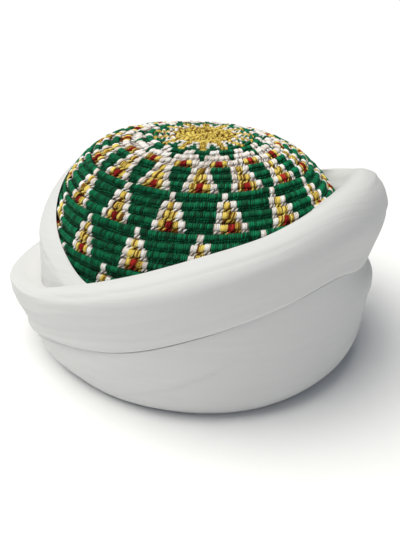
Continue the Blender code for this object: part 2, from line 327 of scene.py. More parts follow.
def cap_profile(length, inset=0.0):
    """Radius and height of the cap's profile, inset squarely from its outer face."""
    length = np.asarray(length, float)
    ahead = np.minimum(length + 0.5, LENGTHS[-1])
    behind = np.where(length > 0.5, ahead - 1.0, 0.0)
    radius, run = (hermite(LENGTHS, RADII, RADIUS_SLOPES, at) for at in (length, ahead))
    run = run - hermite(LENGTHS, RADII, RADIUS_SLOPES, behind)
    height, rise = (hermite(LENGTHS, HEIGHTS, HEIGHT_SLOPES, at) for at in (length, ahead))
    rise = rise - hermite(LENGTHS, HEIGHTS, HEIGHT_SLOPES, behind)
    size = np.hypot(run, rise)
    return radius + inset * rise / size, height - inset * run / size


def leaned(angle, radius, height, length):
    """Points of the upright cap, leaned back: x, y and height above the surface."""
    share = np.clip((height + CAP_CENTRE_HEIGHT) / (CAP_TILT_FULL_ABOVE + CAP_CENTRE_HEIGHT), 0.0, 1.0)
    tilt = CAP_TILT * share * share * (3 - 2 * share)
    facing = np.maximum(np.cos(angle - CAP_BULGE_AT), 0.0) ** 2
    swell = CAP_BULGE * facing * np.exp(-(((length - CAP_BULGE_LENGTH) / CAP_BULGE_REACH) ** 2))
    swell = swell * np.minimum(radius / CAP_BULGE_FULL_RADIUS, 1.0)
    height = height + swell * CAP_BULGE_RISE
    x, y = (radius + swell) * np.sin(angle), -(radius + swell) * np.cos(angle)
    return (
        x,
        y * np.cos(tilt) + height * np.sin(tilt),
        CAP_CENTRE_HEIGHT + height * np.cos(tilt) - y * np.sin(tilt),
    )


def cap_radius(degrees, z):
    """Distance of the leaned cap's outer face from the upright axis, at angles and heights."""
    angle, z = np.broadcast_arrays(np.radians(degrees), np.asarray(z, float))
    azimuth, length = angle.copy(), np.full(angle.shape, LENGTHS[-1] * SEARCH_START)
    for _ in range(SEARCH_STEPS):
        radius, height = cap_profile(np.clip(length, 1.0, LENGTHS[-1]))
        x, y, found_z = leaned(azimuth, radius, height, length)
        azimuth = azimuth + (angle - np.arctan2(x, -y) + pi) % (2 * pi) - pi
        length = length + (found_z - z) * SEARCH_PACE
    return np.hypot(x, y)


def lower_radius(degrees, z):
    """The lower turn's outer face."""
    spread = around(LOWER_TURN, "spread", degrees)
    return around(LOWER_TURN, "foot", degrees) + spread * (1 - np.exp(-z / FOOT_ROUNDING))


def drawn_face(degrees):
    """Radius of the lower turn where it draws in under the outer turn's foot."""
    edge = around(OUTER_TURN, "foot_z", degrees)
    return lower_radius(degrees, edge) - (1 - LOWER_SWELL) * around(FOOT_CREASE, "draw", degrees)


def cross_edge(degrees):
    """Height of the cross turn's upper edge, kept above the lower turn that it lies on."""
    lowest = around(OUTER_TURN, "foot_z", degrees) + TUCK_HEIGHT
    return np.maximum(around(CROSS_TURN, "edge_z", degrees), lowest + CROSS_LEAST_HEIGHT)


def lower_turn_section(degrees):
    """Radius and height of the lower turn's corners, from its inner foot outwards and up."""
    edge = around(OUTER_TURN, "foot_z", degrees)
    top = edge + TUCK_HEIGHT
    face = drawn_face(degrees)
    swell = LOWER_SWELL * around(FOOT_CREASE, "draw", degrees)
    outer = [(lower_radius(degrees, edge * s), edge * s) for s in (0.0, 0.12, 0.3, 0.55)]
    outer.append((lower_radius(degrees, edge * 0.8) + swell, edge * 0.8))
    outer += [(face + 0.1, edge - 1.6), (face - 0.5, edge)]
    hidden = [
        (face - TUCK_STEP, edge + 1.5),
        (face - TUCK_STEP - 1.0, top - 3.0),
        (face - TUCK_STEP - 4.0, top),
    ]
    inner = [(cap_radius(degrees, top * s) + GAP, top * s) for s in (1.0, 0.89, 0.77, 0.6, 0.4, 0.2, 0.0)]
    return outer + hidden + inner


def cap_gap(share):
    """The cross turn's distance from the cap, closing towards its upper edge."""
    return GAP * min((1.0 - share) * 4, 1.0)


def cross_turn_section(degrees):
    """The cross turn lies on the cap, from the lower turn's top to its own rounded edge."""
    low = around(OUTER_TURN, "foot_z", degrees) + TUCK_HEIGHT + GAP
    tall = cross_edge(degrees) - low
    face = [(0.0, 0.7), (0.04, 1.0), (0.2, 1.0), (0.4, 1.0), (0.6, 1.0), (0.78, 1.0)]
    face += [(0.9, 0.72), (0.97, 0.38), (1.0, 0.12)]
    face += [(s, 0.0) for s in (0.96, 0.84, 0.7, 0.56, 0.42, 0.28, 0.14, 0.0)]
    return [
        (cap_radius(degrees, low + tall * s) + cap_gap(s) + CROSS_THICKNESS * t, low + tall * s)
        for s, t in face
    ]


def outer_turn_section(degrees):
    """The outer turn: its lip, face, rolled crest, and the hidden wall that bears on the turns inside."""
    foot_z, crest_z, crest_r, belly_r, belly, drop = (
        around(OUTER_TURN, column, degrees)
        for column in ("foot_z", "crest_z", "crest_r", "belly_r", "belly", "drop")
    )
    belly_z = foot_z + belly * (crest_z - foot_z)
    face = drawn_face(degrees)
    lip = around(FOOT_CREASE, "lip", degrees)
    top = foot_z + TUCK_HEIGHT
    cross_wall = GAP + CROSS_THICKNESS + CLOTH_TOUCH
    rest_z = crest_z - drop
    covered = np.clip((rest_z - cross_edge(degrees)) / 8.0, 0.0, 1.0)
    rest_r = cap_radius(degrees, rest_z) + GAP * covered + cross_wall * (1 - covered)
    bend_z = np.minimum(cross_edge(degrees) + 1.0, rest_z - 3.0)
    seat_z = top + GAP
    wall = [seat_z + (bend_z - seat_z) * s for s in (1.0, 0.66, 0.33, 0.0)]
    seat_r = cap_radius(degrees, seat_z) + cross_wall
    below, above = belly_z - foot_z, crest_z - belly_z
    return [
        (face - TUCK_STEP + CLOTH_TOUCH, foot_z + 1.5 + CLOTH_TOUCH),
        (face - 0.6, foot_z + CLOTH_TOUCH),
        (face + 0.1 + 0.4 * lip, foot_z + 0.5),
        (face + 0.8 + lip, foot_z + 3.0),
        (face * 0.55 + belly_r * 0.45, foot_z + 0.33 * below),
        (face * 0.15 + belly_r * 0.85, foot_z + 0.66 * below),
        (belly_r, belly_z),
        (belly_r * 0.82 + crest_r * 0.18, belly_z + 0.5 * above),
        (belly_r * 0.47 + crest_r * 0.53, belly_z + 0.86 * above),
        (crest_r, crest_z),
        (crest_r * 0.67 + rest_r * 0.33, crest_z - 0.12 * drop),
        (crest_r * 0.32 + rest_r * 0.68, crest_z - 0.45 * drop),
        (rest_r, rest_z),
        *[(cap_radius(degrees, z) + cross_wall, z) for z in wall],
        (np.maximum(face - TUCK_STEP - 4.0, seat_r + 1.0) + 1.0, top + GAP),
        (face - TUCK_STEP - 1.0 + CLOTH_TOUCH, top - 3.0 + GAP),
    ]


# The cloth's creases. Each runs along the winding, from one angle to another, at a share of the way from the
# turn's lower edge to its crest. It is a groove of a depth and width in millimetres with a soft ridge above.
CREASES = {
    "lower_turn": named_rows(
        "from to start end depth width",
        (-34, 26, 0.30, 0.80, 0.9, 1.6),
        (-75, 10, 0.62, 0.70, 0.35, 1.2),
        (30, 120, 0.35, 0.62, 0.6, 1.8),
        (65, 150, 0.70, 0.40, 0.9, 2.2),
        (140, 250, 0.30, 0.60, 0.8, 2.0),
        (170, 290, 0.65, 0.35, 0.6, 1.6),
    ),
    "cross_turn": named_rows(
        "from to start end depth width",
        (-150, -55, 0.55, 0.75, 0.7, 1.6),
        (-175, -80, 0.40, 0.42, 0.5, 1.4),
        (120, 230, 0.60, 0.70, 0.7, 1.6),
    ),
    "outer_turn": named_rows(
        "from to start end depth width",
        (-110, -8, 0.12, 0.20, 0.45, 1.1),
        (-100, 4, 0.26, 0.36, 0.40, 1.0),
        (-95, -20, 0.44, 0.50, 0.35, 1.0),
        (-120, -30, 0.60, 0.66, 0.30, 0.9),
        (-60, 40, 0.78, 0.80, 0.30, 1.4),
        (50, 110, 0.62, 0.42, 0.5, 2.0),
        (60, 140, 0.85, 0.80, 0.6, 1.8),
        (110, 220, 0.30, 0.42, 0.7, 1.8),
        (130, 260, 0.62, 0.58, 0.6, 1.6),
        (180, 290, 0.82, 0.76, 0.4, 1.3),
    ),
}

TURNS = (
    {"node": "lower_turn", "section": lower_turn_section, "edge": 0, "crest": 6, "fill": 0.7},
    {"node": "cross_turn", "section": cross_turn_section, "edge": 0, "crest": 8, "fill": 0.6},
    {"node": "outer_turn", "section": outer_turn_section, "edge": 1, "crest": 9, "fill": 0.8},
)
TURN_COLUMNS = 384
STEPS_PER_CORNER = 6
WINDING_RADIUS = 110.0
# Degrees over which a crease fades out at its ends, its ridge against its groove, and the cloth's slow
# unevenness in millimetres.
CREASE_FADE = 22.0
RIDGE_AWAY = 2.2
RIDGE_WIDTH = 1.6
RIDGE_HEIGHT = 0.5
CLOTH_SWELL = 0.35
CLOTH_RIPPLE = 0.2
# The cloth's soft streaks and its weave, in millimetres.
STREAK_LENGTH = 90.0
STREAK_WIDTH = 5.0
THREAD_PITCH = 0.9
# The search for a height on the leaned cap: its start as a share of the profile, its steps and its pace.
SEARCH_START = 0.6
SEARCH_STEPS = 40
SEARCH_PACE = 0.7


def colour_setting(name, description, code):
    """A colour that a user would change."""
    return FloatVectorProperty(
        name=name, description=description, default=linear(code), subtype="COLOR", size=3, min=0.0, max=1.0)


def add_node(tree, kind, settings=None, links=None, **sockets):
    """Adds a node: its settings, the values of its sockets, and what feeds them."""
    node = tree.nodes.new(kind)
    for name, value in (settings or {}).items():
        setattr(node, name, value)
    for name, value in sockets.items():
        node.inputs[name.replace("_", " ")].default_value = value
    for name, source in (links or {}).items():
        tree.links.new(source, node.inputs[name])
    return node


def new_material(name):
    """An empty material, its node tree and its shader."""
    material = bpy.data.materials.new(name)
    material.use_nodes = True
    return material, material.node_tree, material.node_tree.nodes["Principled BSDF"]


def yarn_material(name, colours, tones, mottle):
    """Mercerised cotton crochet yarn, two plies twisted, each strand a little lighter or darker."""
    material, tree, shader = new_material(name)
    tone = add_node(tree, "ShaderNodeAttribute", {"attribute_name": "tone"})
    uv = add_node(tree, "ShaderNodeUVMap", {"uv_map": "strand"})
    # Tufts of fibre, 0.5 mm across and about 1 mm long, lying along the strand.
    along = add_node(tree, "ShaderNodeMapping", None, {"Vector": uv.outputs["UV"]}, Scale=(2.0, 1.0, 1.0))
    fibre = add_node(tree, "ShaderNodeTexNoise", {"noise_dimensions": "2D"},
                     {"Vector": along.outputs["Vector"]}, Scale=1.0, Detail=3.0)
    spread = add_node(tree, "ShaderNodeMath", {"operation": "MULTIPLY_ADD"},
                      {0: fibre.outputs["Fac"], 2: tone.outputs["Fac"]})
    spread.inputs[1].default_value = mottle
    share = add_node(tree, "ShaderNodeMath", {"operation": "DIVIDE"}, {0: spread.outputs["Value"]})
    share.inputs[1].default_value = mottle + tones
    ramp = add_node(tree, "ShaderNodeValToRGB", None, {"Fac": share.outputs["Value"]})
    ramp.color_ramp.elements.new(0.5)
    reach = RAMP_REACH / (mottle + tones)
    for stop, colour, place in zip(ramp.color_ramp.elements, colours, (0.5 - reach, 0.5, 0.5 + reach)):
        stop.position = place
        stop.color = (*colour, 1.0)
    tree.links.new(ramp.outputs["Color"], shader.inputs["Base Color"])
    # The plies' twist, one turn in 1.4 mm, leaning across the strand.
    twist = add_node(tree, "ShaderNodeMapping", None, {"Vector": uv.outputs["UV"]},
                     Rotation=(0, 0, radians(38)))
    plies = add_node(tree, "ShaderNodeTexWave", {"wave_type": "BANDS", "bands_direction": "X"},
                     {"Vector": twist.outputs["Vector"]}, Scale=0.36, Distortion=0.6, Detail=1.0)
    bump = add_node(tree, "ShaderNodeBump", None, {"Height": plies.outputs["Fac"]},
                    Strength=0.35, Distance=0.0003)
    tree.links.new(bump.outputs["Normal"], shader.inputs["Normal"])
    shader.inputs["Roughness"].default_value = 0.65
    shader.inputs["Specular IOR Level"].default_value = 0.15
    shader.inputs["Sheen Weight"].default_value = 0.08
    shader.inputs["Sheen Roughness"].default_value = 0.35
    return material


def ground_material():
    """The crochet's hidden side: the same yarns between the stitches and inside the cap, nubbly and dull."""
    material, tree, shader = new_material("cotton crochet ground")
    chart = add_node(tree, "ShaderNodeAttribute", {"attribute_name": "chart"})
    place = add_node(tree, "ShaderNodeTexCoord")
    # Purl bumps about 3.3 mm across, which is the width of a stitch's back. Their colour is painted light and
    # shade: lighter on each bump, darker in the hollows between.
    nubs = add_node(tree, "ShaderNodeTexVoronoi", {"feature": "SMOOTH_F1"}, {"Vector": place.outputs["Object"]},
                    Scale=1000 / 3.3, Smoothness=0.5, Randomness=0.6)
    fibre = add_node(tree, "ShaderNodeTexNoise", None, {"Vector": place.outputs["Object"]},
                     Scale=1000 / 0.8, Detail=2.0)
    shade = add_node(tree, "ShaderNodeMapRange", None, {"Value": nubs.outputs["Distance"]})
    shade.inputs["From Max"].default_value = 0.7
    shade.inputs["To Min"].default_value = 1.25
    shade.inputs["To Max"].default_value = 0.35
    tinted = add_node(tree, "ShaderNodeVectorMath", {"operation": "SCALE"},
                      {0: chart.outputs["Color"], "Scale": shade.outputs["Result"]})
    tree.links.new(tinted.outputs["Vector"], shader.inputs["Base Color"])
    height = add_node(tree, "ShaderNodeMath", {"operation": "MULTIPLY_ADD"},
                      {0: nubs.outputs["Distance"], 2: fibre.outputs["Fac"]})
    height.inputs[1].default_value = -3.0
    bump = add_node(tree, "ShaderNodeBump", None, {"Height": height.outputs["Value"]},
                    Strength=0.7, Distance=0.0008)
    tree.links.new(bump.outputs["Normal"], shader.inputs["Normal"])
    shader.inputs["Roughness"].default_value = 0.9
    shader.inputs["Specular IOR Level"].default_value = 0.1
    return material


def cloth_material(name, colour, shade):
    """Fine white cotton voile, folded and wound: matt, with long soft streaks, painted shade in their hollows,
    and a plain weave.
    """
    material, tree, shader = new_material(name)
    place = add_node(tree, "ShaderNodeTexCoord")
    uv = add_node(tree, "ShaderNodeUVMap", {"uv_map": "winding"})
    split = add_node(tree, "ShaderNodeSeparateXYZ", None, {"Vector": uv.outputs["UV"]})
    spot = add_node(tree, "ShaderNodeSeparateXYZ", None, {"Vector": place.outputs["Object"]})
    # Long soft streaks, where the folded layers pull. They bump the surface, and the colour goes to the cloth
    # shade in their hollows: painted shade.
    streak_at = add_node(tree, "ShaderNodeCombineXYZ")
    for axis, source, scale in (
        ("X", spot.outputs["X"], 1000 / STREAK_LENGTH),
        ("Y", spot.outputs["Y"], 1000 / STREAK_LENGTH),
        ("Z", split.outputs["Y"], 1 / STREAK_WIDTH),
    ):
        scaled = add_node(tree, "ShaderNodeMath", {"operation": "MULTIPLY"}, {0: source})
        scaled.inputs[1].default_value = scale
        tree.links.new(scaled.outputs["Value"], streak_at.inputs[axis])
    streaks = add_node(tree, "ShaderNodeTexNoise", None, {"Vector": streak_at.outputs["Vector"]},
                       Scale=1.0, Detail=4.0, Roughness=0.55, Distortion=0.2)
    tint = add_node(tree, "ShaderNodeMix", {"data_type": "RGBA"}, {"Factor": streaks.outputs["Fac"]})
    tint.inputs["A"].default_value = (*shade, 1.0)
    tint.inputs["B"].default_value = (*colour, 1.0)
    tree.links.new(tint.outputs["Result"], shader.inputs["Base Color"])
    # Plain weave. Real threads are 0.35 mm apart, too fine to show, so they are drawn coarser.
    weave_at = add_node(tree, "ShaderNodeMapping", None, {"Vector": uv.outputs["UV"]},
                        Scale=(2 * pi / THREAD_PITCH, 2 * pi / THREAD_PITCH, 1.0))
    threads = add_node(tree, "ShaderNodeSeparateXYZ", None, {"Vector": weave_at.outputs["Vector"]})
    warp = add_node(tree, "ShaderNodeMath", {"operation": "SINE"}, {0: threads.outputs["X"]})
    weft = add_node(tree, "ShaderNodeMath", {"operation": "SINE"}, {0: threads.outputs["Y"]})
    weave = add_node(tree, "ShaderNodeMath", {"operation": "MULTIPLY"},
                     {0: warp.outputs["Value"], 1: weft.outputs["Value"]})
    soft = add_node(tree, "ShaderNodeBump", None, {"Height": streaks.outputs["Fac"]},
                    Strength=0.35, Distance=0.0012)
    fine = add_node(tree, "ShaderNodeBump", None,
                    {"Height": weave.outputs["Value"], "Normal": soft.outputs["Normal"]},
                    Strength=0.12, Distance=0.0001)
    tree.links.new(fine.outputs["Normal"], shader.inputs["Normal"])
    shader.inputs["Roughness"].default_value = 0.92
    shader.inputs["Specular IOR Level"].default_value = 0.2
    shader.inputs["Sheen Weight"].default_value = 0.15
    shader.inputs["Sheen Roughness"].default_value = 0.6
    return material


def rolled(name, columns, rows, place, unroll, layer):
    """A flat grid rolled up: place gives each point by column and row, unroll its place on the flat, in mm."""
    grid = bmesh.new()
    bmesh.ops.create_grid(grid, x_segments=columns, y_segments=rows, size=1.0)
    flat = bpy.data.meshes.new(name)
    grid.to_mesh(flat)
    grid.free()
    spots = np.zeros(len(flat.vertices) * 3)
    flat.vertices.foreach_get("co", spots)
    spots = spots.reshape(-1, 3)
    column = np.rint((spots[:, 0] + 1) / 2 * columns).astype(int)
    row = np.rint((spots[:, 1] + 1) / 2 * rows).astype(int)
    corner = np.zeros(len(flat.loops), int)
    flat.loops.foreach_get("vertex_index", corner)
    unrolled = unroll(column, row)
    uv = flat.uv_layers.new(name=layer)
    uv.data.foreach_set("uv", unrolled[corner].astype(np.float32).ravel())
    flat.vertices.foreach_set("co", (place(column % columns, row) * MM).ravel())
    closed = bmesh.new()
    closed.from_mesh(flat)
    bmesh.ops.remove_doubles(closed, verts=closed.verts, dist=0.0000005)
    bmesh.ops.recalc_face_normals(closed, faces=closed.faces)
    closed.to_mesh(flat)
    closed.free()
    flat.shade_smooth()
    return flat


def dress(name, mesh_data, material, slot, *nodes):
    """A finished piece: its material, its body, its slot (not used) and the nodes that it stands for."""
    mesh_data.name = name
    mesh_data.materials.clear()
    mesh_data.materials.append(material)
    piece = bpy.data.objects.new(name, mesh_data)
    bpy.context.scene.collection.objects.link(piece)
    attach(piece, "root")
    if nodes:
        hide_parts(*nodes)
    return piece


def cap_points(angle, length, inset):
    """Points of the cap at angles in radians, lengths down from the crown and insets from its outer face."""
    radius, height = cap_profile(np.clip(length, 0.0, LENGTHS[-1]), inset)
    at_crown, at_rim = length <= 0.0, length >= LENGTHS[-1]
    radius = np.where(at_crown, 0.0, np.where(at_rim, RADII[-1] - inset, radius))
    height = np.where(at_crown, HEIGHTS[0] - inset, np.where(at_rim, HEIGHTS[-1], height))
    x, y, z = leaned(angle, np.maximum(radius, 0.0), height, length)
    return np.stack([CENTRE[0] + x, CENTRE[1] + y, z], axis=-1)


def chart_row(row):
    """One row of the chart: its sector's stitches, its motif's middle stitch, its axis and its sectors."""
    for line in CHART:
        if line["row"] <= row < line["row"] + line["tall"]:
            return line
    row = int(row)
    ring, step = divmod(row - MOTIF_FROM_ROW, len(MOTIF_ROWS))
    radius = float(cap_profile((row - 0.5) * ROW_PITCH)[0])
    count = round(2 * pi * radius / SECTORS / STITCH_WIDTH)
    motif = MOTIF_ROWS[step] if row <= LAST_ROW else ""
    return {
        "row": row,
        "tall": 1,
        "sector": motif + "G" * (count - len(motif)),
        "middle": (len(motif) - 1) / 2,
        "axis": (SECOND_AXIS if ring % 2 == 0 else FIRST_AXIS) + ROW_DRIFT * (row - MOTIF_FROM_ROW - 1),
        "sectors": SECTORS,
    }


def hidden_below(degrees):
    """Height below which the turns hide the cap."""
    rest = around(OUTER_TURN, "crest_z", degrees) - around(OUTER_TURN, "drop", degrees)
    return np.maximum(cross_edge(degrees), rest)


def shows(stitch):
    """Whether a stitch stands above the cloth, or close enough below its edge to be seen."""
    row, degrees = stitch[0], stitch[1]
    x, y, z = cap_points(np.array(radians(degrees)), np.array((row - 0.5) * ROW_PITCH), 0.0)
    bearing = np.degrees(np.arctan2(x - CENTRE[0], CENTRE[1] - y))
    return z > hidden_below(bearing) - HIDDEN_MARGIN


def chart_stitches(rows):
    """Every stitch of the cap: its row, angle and width in degrees, yarn, and height against a full row's."""
    stitches = []
    for line in CHART + tuple(chart_row(row) for row in range(MOTIF_FROM_ROW, rows + 1)):
        count = len(line["sector"])
        width = 360.0 / line["sectors"] / count
        for sector in range(line["sectors"]):
            for index, letter in enumerate(line["sector"]):
                place = index - line["middle"] + sector * count
                stitches.append((line["row"], line["axis"] + place * width, width, letter, line["tall"]))
    return stitches


def strand(name, path, thickness, sides, rings):
    """A tapered tube of yarn along a smooth path of (across, down, out) points, its ends closed."""
    path = np.array(path, float)
    knots = np.linspace(0.0, 1.0, len(path))
    slopes = [inner_slopes(knots, path[:, i]) for i in range(3)]

    def at(share):
        share = np.clip(share, 0.0, 1.0)
        return np.stack([hermite(knots, path[:, i], slopes[i], share) for i in range(3)], axis=-1)

    def place(column, row):
        share = row / rings
        ahead = at(share + 0.02) - at(share - 0.02)
        ahead /= np.linalg.norm(ahead, axis=1, keepdims=True)
        side = np.cross(ahead, (0.0, 0.0, 1.0))
        side /= np.linalg.norm(side, axis=1, keepdims=True)
        out = np.cross(side, ahead)
        turn = 2 * pi * column / sides
        radius = thickness / 2 * np.sqrt(np.clip(1 - np.abs(2 * share - 1) ** 3, 0.0, 1.0))
        return at(share) + (np.cos(turn) * radius)[:, None] * side + (np.sin(turn) * radius)[:, None] * out

    def unroll(column, row):
        return np.stack([column / sides * thickness * pi, row / rings * STRAND_LENGTH], axis=-1)

    return rolled(name, sides, rings, place, unroll, "strand")


def stitch_template(strands, plumpness):
    """One crochet stitch, its strands' thickness against the table's, and the strand that each point is on."""
    joined = bmesh.new()
    strand_of = []
    beside = [(line, across) for line in strands for across in line.get("beside", (0.0,))]
    for index, (line, across) in enumerate(beside):
        path = np.array(line["path"]) + (across, 0.0, 0.0)
        tube = strand("strand", path, line["thickness"] * plumpness, STRAND_SIDES, line["rings"])
        joined.from_mesh(tube)
        strand_of += [index] * len(tube.vertices)
    template = bpy.data.meshes.new("stitch")
    joined.to_mesh(template)
    joined.free()
    template.shade_smooth()
    return template, np.array(strand_of)


def copies_of(template, count):
    """The template and its copies in one mesh, and every point's place in its own copy, in millimetres."""
    carrier = bpy.data.objects.new("carrier", template)
    bpy.context.scene.collection.objects.link(carrier)
    array = carrier.modifiers.new("copies", "ARRAY")
    array.use_relative_offset = False
    array.use_constant_offset = True
    array.constant_offset_displace = (0.0, 0.0, 0.0)
    array.count = count
    graph = bpy.context.evaluated_depsgraph_get()
    many = bpy.data.meshes.new_from_object(carrier.evaluated_get(graph))
    bpy.data.objects.remove(carrier)
    spots = np.zeros(len(many.vertices) * 3)
    many.vertices.foreach_get("co", spots)
    return many, spots.reshape(count, -1, 3) / MM


def stitches_piece(line, template, strand_of, stitches, material, rng):
    """The stitches of one yarn, laid on the cap, each a little different from the next."""
    many, local = copies_of(template, len(stitches))
    row, degrees, width, tall = (np.array([stitch[i] for stitch in stitches])[:, None] for i in (0, 1, 2, 4))
    count = len(stitches)
    wild = line["wild"]
    size = 1 + rng.uniform(-SIZE_SPREAD, SIZE_SPREAD, (count, 1)) * wild
    lean = rng.normal(0.0, LEAN_SPREAD, (count, 1)) * wild
    slip = rng.normal(0.0, SLIP_SPREAD, (count, 1)) * wild
    slip = slip + ROW_WAVE * np.sin(np.radians(degrees * ROW_WAVES) + row * ROW_WAVE_SHIFT)
    proud = rng.normal(0.0, PROUD_SPREAD, (count, 1)) * wild
    across, down, out = (local[:, :, i] for i in range(3))
    across = across * size + lean * (down - ROW_PITCH / 2)
    length = (row - 1) * ROW_PITCH + down * tall + slip
    angle = np.radians(degrees + across / STITCH_WIDTH * width)
    spots = cap_points(angle, np.maximum(length, 0.2), STITCH_SEAT - out - proud)
    many.vertices.foreach_set("co", (spots * MM).ravel())
    tone = many.attributes.new("tone", "FLOAT", "POINT")
    by_stitch = rng.uniform(0.0, line["tones"], (count, 1))
    by_strand = rng.uniform(0.0, line["tones"], (count, strand_of.max() + 1))[:, strand_of]
    tones = by_stitch + (by_strand - by_stitch) * line["streak"]
    tone.data.foreach_set("value", tones.astype(np.float32).ravel())
    many.update()
    return dress(line["piece"], many, material, "crochet_yarn")


def cap_ground(settings):
    """The crochet's ground: ribbed outside under the stitches and inside, closed at the rim."""
    outer = np.linspace(0.0, LENGTHS[-1], GROUND_ROWS + 1)
    inner = outer[::-2]
    lengths = np.concatenate([outer, inner])
    rib = 0.5 + 0.5 * np.cos(2 * pi * lengths / ROW_PITCH)
    first, last = GROUND_MEETS_FACE
    seated = np.clip((lengths - first) / (last - first), 0.0, 1.0)
    sunk = (GROUND_SUNK + GROUND_RIB * rib) * (1 - seated) + RIM_RIB * rib * seated
    insets = np.where(np.arange(len(lengths)) < len(outer), sunk, CAP_WALL - INSIDE_RIB * rib)
    unrolled = np.concatenate([outer, 2 * LENGTHS[-1] - inner])

    def place(column, row):
        return cap_points(2 * pi * column / GROUND_COLUMNS, lengths[row], insets[row])

    def unroll(column, row):
        return np.stack([360.0 * column / GROUND_COLUMNS, unrolled[row]], axis=-1)

    ground = rolled("cap_ground", GROUND_COLUMNS, len(lengths) - 1, place, unroll, "unrolled")
    uv = np.zeros(len(ground.loops) * 2, np.float32)
    ground.uv_layers["unrolled"].data.foreach_get("uv", uv)
    starts = np.zeros(len(ground.polygons), int)
    ground.polygons.foreach_get("loop_start", starts)
    sizes = np.diff(np.append(starts, len(ground.loops)))
    middle = np.add.reduceat(uv.reshape(-1, 2), starts, axis=0) / sizes[:, None]
    inside = middle[:, 1] > LENGTHS[-1]
    length = np.where(inside, 2 * LENGTHS[-1] - middle[:, 1], middle[:, 1])
    colours = np.ones((len(starts), 4), np.float32)
    rows = np.floor(length / ROW_PITCH * 2) / 2 + 1
    for row in np.unique(rows):
        line = chart_row(row)
        here = rows == row
        count = len(line["sector"])
        width = 360.0 / line["sectors"] / count
        index = np.rint((middle[here, 0] - line["axis"]) / width + line["middle"]).astype(int) % count
        yarns = np.array([tuple(getattr(settings, YARN_OF[letter] + "_deep")) for letter in line["sector"]])
        colours[here, :3] = yarns[index]
    # Painted shade darkens the ground outside the cap, between the stitches; inside the cap the deep colour is
    # made lighter.
    colours[:, :3] *= np.where(inside, INSIDE_SHADE, GAP_PAINTED_SHADE)[:, None]
    chart = ground.attributes.new("chart", "FLOAT_COLOR", "FACE")
    chart.data.foreach_set("color", colours.ravel())
    return ground


def smoothed(corners, steps):
    """A closed run of corners made smooth, with a number of steps from each corner to the next."""
    before, after, beyond = (np.roll(corners, shift, axis=0) for shift in (1, -1, -2))
    fine = []
    for step in range(steps):
        t = step / steps
        fine.append(
            0.5
            * (
                2 * corners
                + (after - before) * t
                + (2 * before - 5 * corners + 4 * after - beyond) * t**2
                + (3 * corners - before - 3 * after + beyond) * t**3
            )
        )
    return np.stack(fine, axis=1).reshape(-1, *corners.shape[1:])


def wound_turn(line, settings):
    """One turn of cloth, lofted through its sections and creased along the winding."""
    degrees = np.arange(TURN_COLUMNS) * 360.0 / TURN_COLUMNS
    corners = np.stack([np.stack(np.broadcast_arrays(*corner), axis=-1) for corner in line["section"](degrees)])
    fine = smoothed(corners, STEPS_PER_CORNER)
    rows = len(fine)
    steps = np.hypot(*np.moveaxis(np.roll(fine, -1, axis=0) - fine, -1, 0))
    across = np.concatenate([np.zeros((1, TURN_COLUMNS)), np.cumsum(steps, axis=0)])
    start = across[line["edge"] * STEPS_PER_CORNER]
    tall = across[line["crest"] * STEPS_PER_CORNER] - start
    share = (across[:-1] - start) / tall
    slope = np.roll(fine, -1, axis=0) - np.roll(fine, 1, axis=0)
    slope /= np.linalg.norm(slope, axis=-1, keepdims=True)
    normal = np.stack([slope[..., 1], -slope[..., 0]], axis=-1)
    middle = fine.mean(axis=0)
    outward = np.sign(((fine - middle) * normal).sum(axis=-1).mean())
    push = np.zeros(share.shape)
    for crease in CREASES[line["node"]]:
        span = crease["to"] - crease["from"]
        along = ((degrees - crease["from"]) % 360.0) / span
        fade = np.clip(np.minimum(along, 1 - along) * span / CREASE_FADE, 0.0, 1.0)
        fade = fade * fade * (3 - 2 * fade)
        away = (share - (crease["start"] + (crease["end"] - crease["start"]) * along)) * tall
        groove = np.exp(-((away / crease["width"]) ** 2))
        ridge = np.exp(-(((away - RIDGE_AWAY * crease["width"]) / (RIDGE_WIDTH * crease["width"])) ** 2))
        push += settings.crease_depth * crease["depth"] * fade * (RIDGE_HEIGHT * ridge - groove)
    turned = np.radians(degrees)
    push += CLOTH_SWELL * np.sin(3 * turned + 5.0 * share) * np.sin(2 * turned + 1.0)
    push += CLOTH_RIPPLE * np.sin(7 * turned - 9.0 * share)
    fine = fine + normal * (outward * push)[..., None]
    fine[..., 1] = np.maximum(fine[..., 1], 0.0)

    def place(column, row):
        radius, z = np.moveaxis(fine[row % rows, column], -1, 0)
        angle = 2 * pi * column / TURN_COLUMNS
        return np.stack([CENTRE[0] + radius * np.sin(angle), CENTRE[1] - radius * np.cos(angle), z], axis=-1)

    def unroll(column, row):
        around_it = 2 * pi * column / TURN_COLUMNS * WINDING_RADIUS
        return np.stack([around_it, across[row, column % TURN_COLUMNS]], axis=-1)

    return rolled(line["node"] + "_cloth", TURN_COLUMNS, rows, place, unroll, "winding")


